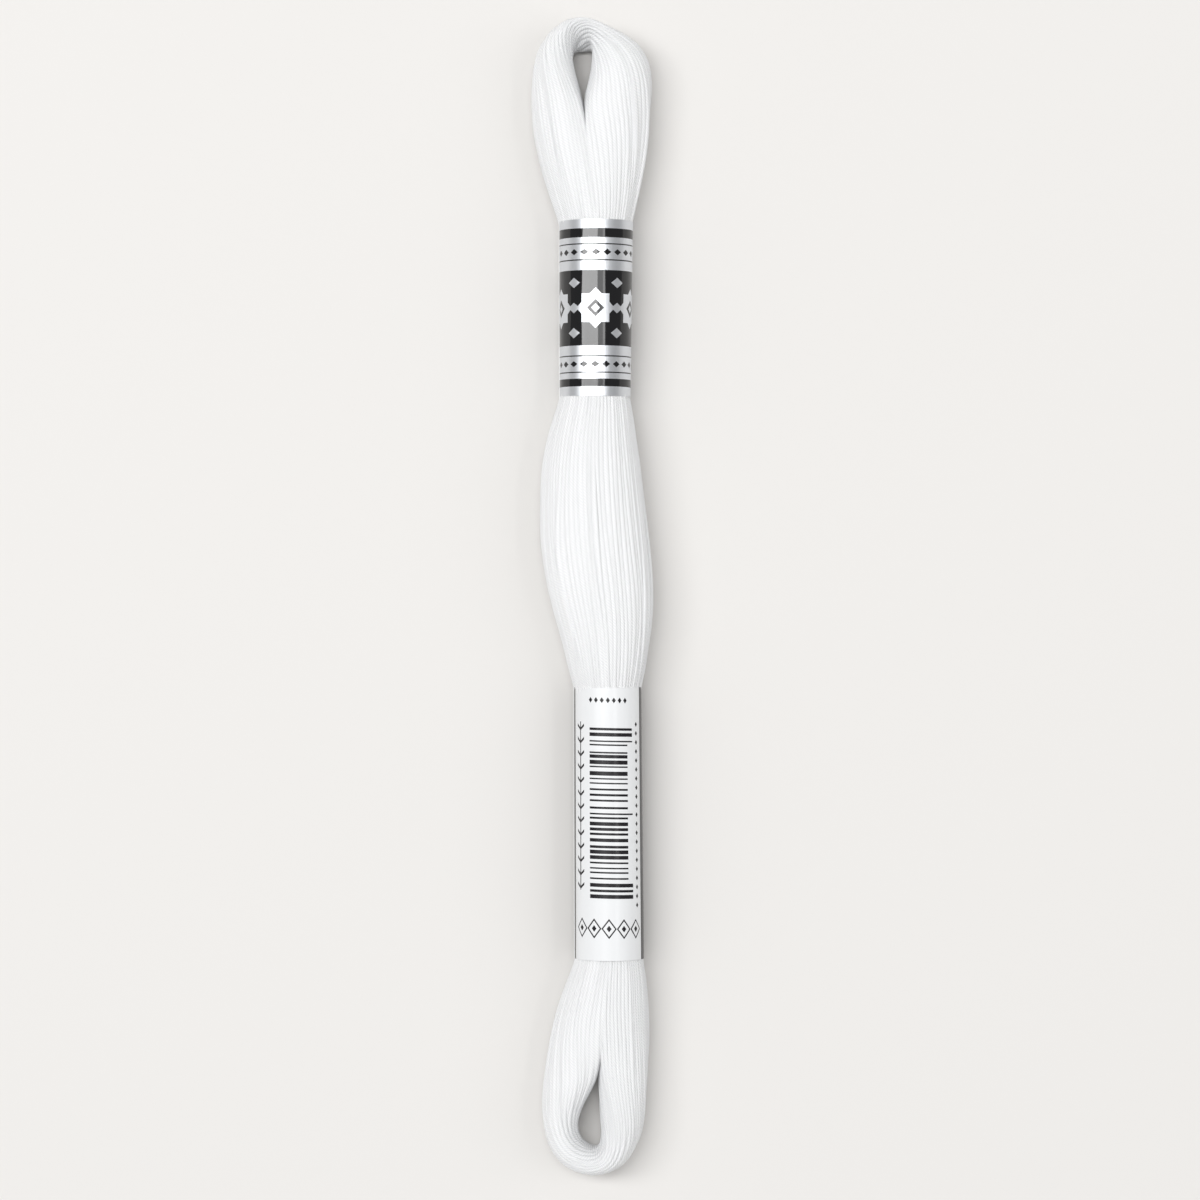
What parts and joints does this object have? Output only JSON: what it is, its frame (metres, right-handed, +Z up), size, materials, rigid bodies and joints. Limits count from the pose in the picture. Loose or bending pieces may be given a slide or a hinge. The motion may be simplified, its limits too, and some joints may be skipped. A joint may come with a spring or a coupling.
{
  "type": "skein of embroidery thread",
  "caption": "Long flat skein of white cotton thread with a small eye in the loop at each end, held by a short silver paper band and a longer white one.",
  "frame": {"origin": "centre of the bounding box, on the surface that the skein lies on", "axes": "+Y along the skein, towards the loop by the short band; +X across it; +Z up from the surface"},
  "size_m": [0.0174, 0.1674, 0.0112],
  "materials": {
    "cotton_thread": "white mercerised cotton thread with a soft sheen",
    "silver_paper": "metallic silver paper printed in glossy black",
    "white_paper": "glossy coated white paper printed in black"
  },
  "bodies": {
    "root": {"skein": "cotton_thread", "upper_band": "silver_paper", "lower_band": "white_paper"}
  },
  "joints": []
}
